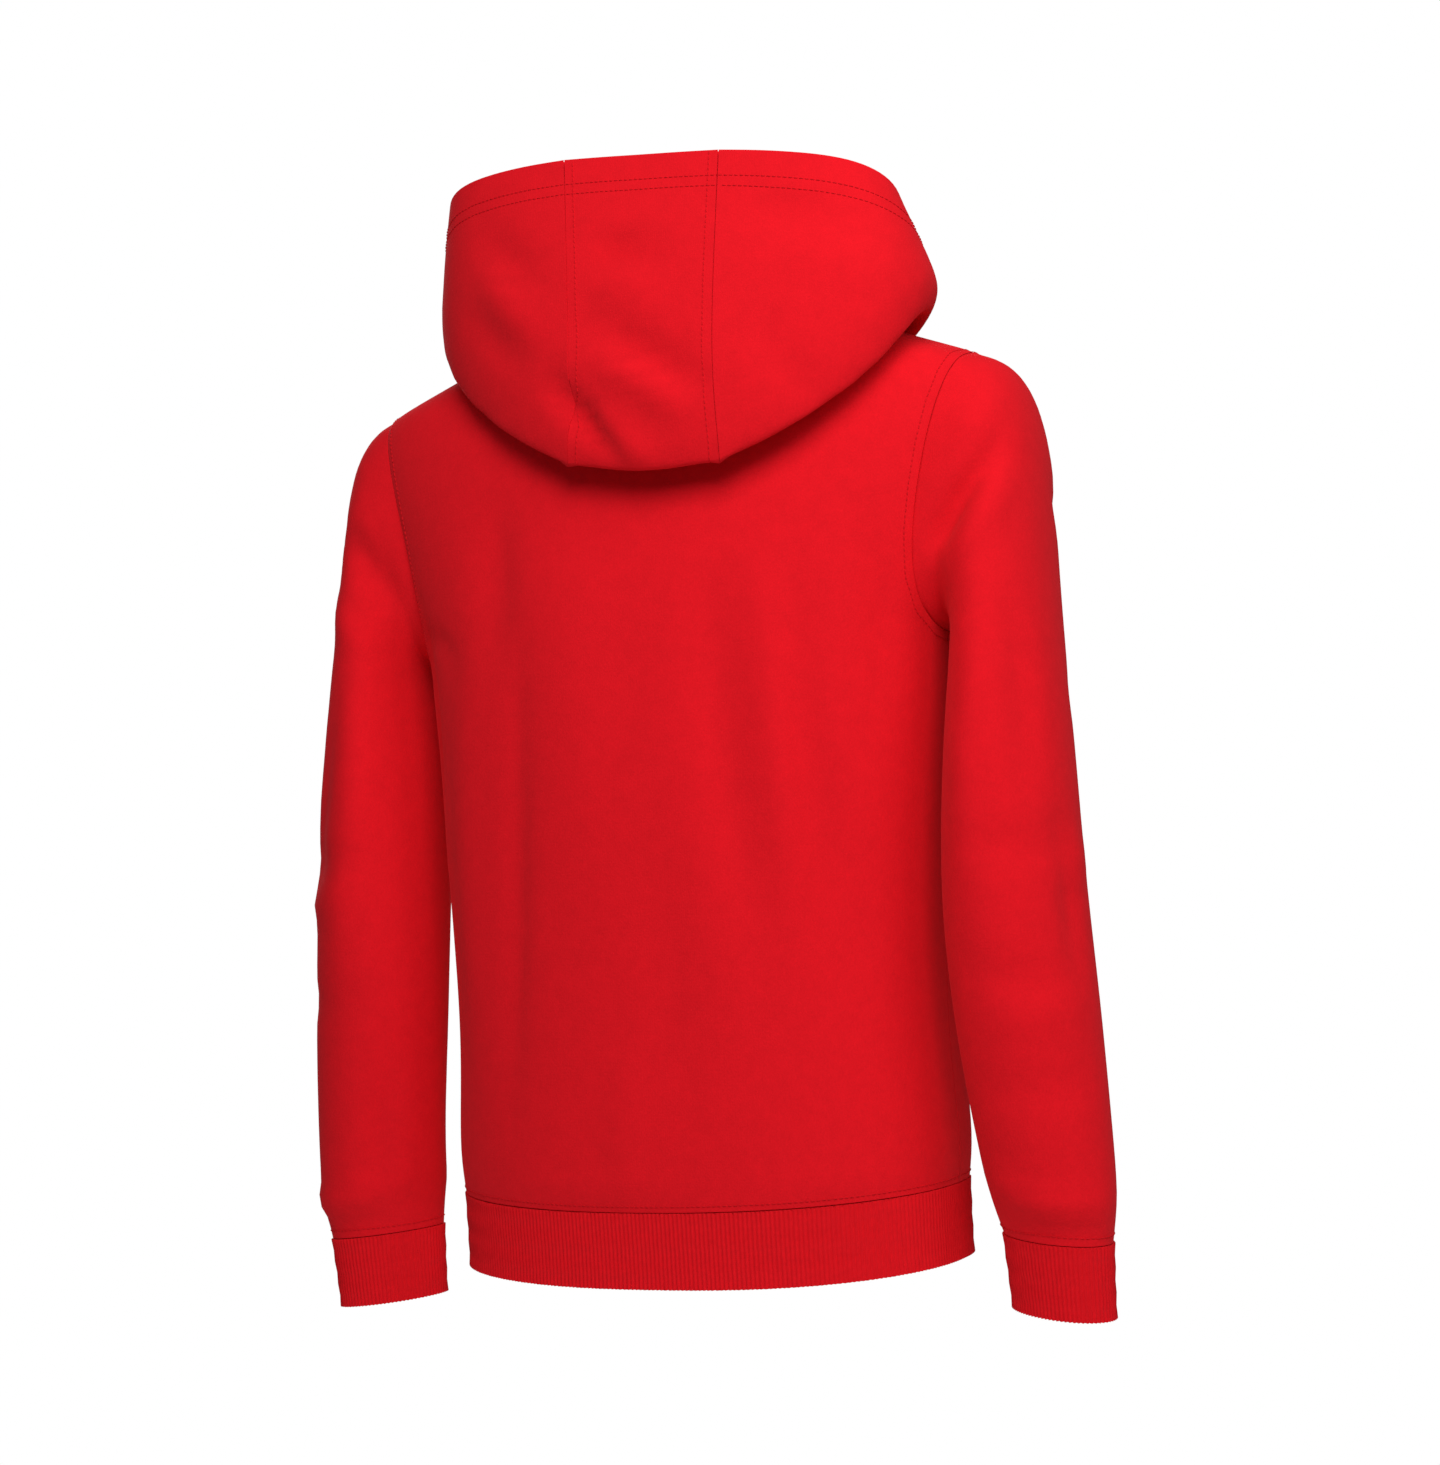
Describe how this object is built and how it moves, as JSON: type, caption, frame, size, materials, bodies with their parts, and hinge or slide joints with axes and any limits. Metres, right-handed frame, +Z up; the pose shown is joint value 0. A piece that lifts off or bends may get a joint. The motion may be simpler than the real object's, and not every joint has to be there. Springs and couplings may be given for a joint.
{
  "type": "kids hoodie",
  "caption": "Child's pullover hoodie, filled out as if worn, with set-in sleeves, ribbed cuffs and hem band and a panelled hood lying down the back.",
  "frame": {"origin": "centre of the neck opening, level with the high points of the shoulder seams, where the garment is held", "axes": "+Z up, +X to the wearer's left, the garment faces -Y"},
  "size_m": [0.5024, 0.2125, 0.663],
  "materials": {
    "fleece": "matte brushed fleece, red",
    "rib": "matte rib knit, red"
  },
  "bodies": {
    "root": {"back": "fleece", "front": "fleece", "sleeve_left": "fleece", "sleeve_right": "fleece", "hood_left": "fleece", "hood_centre": "fleece", "hood_right": "fleece", "cuff_left": "rib", "cuff_right": "rib", "hem_band": "rib"}
  },
  "joints": []
}
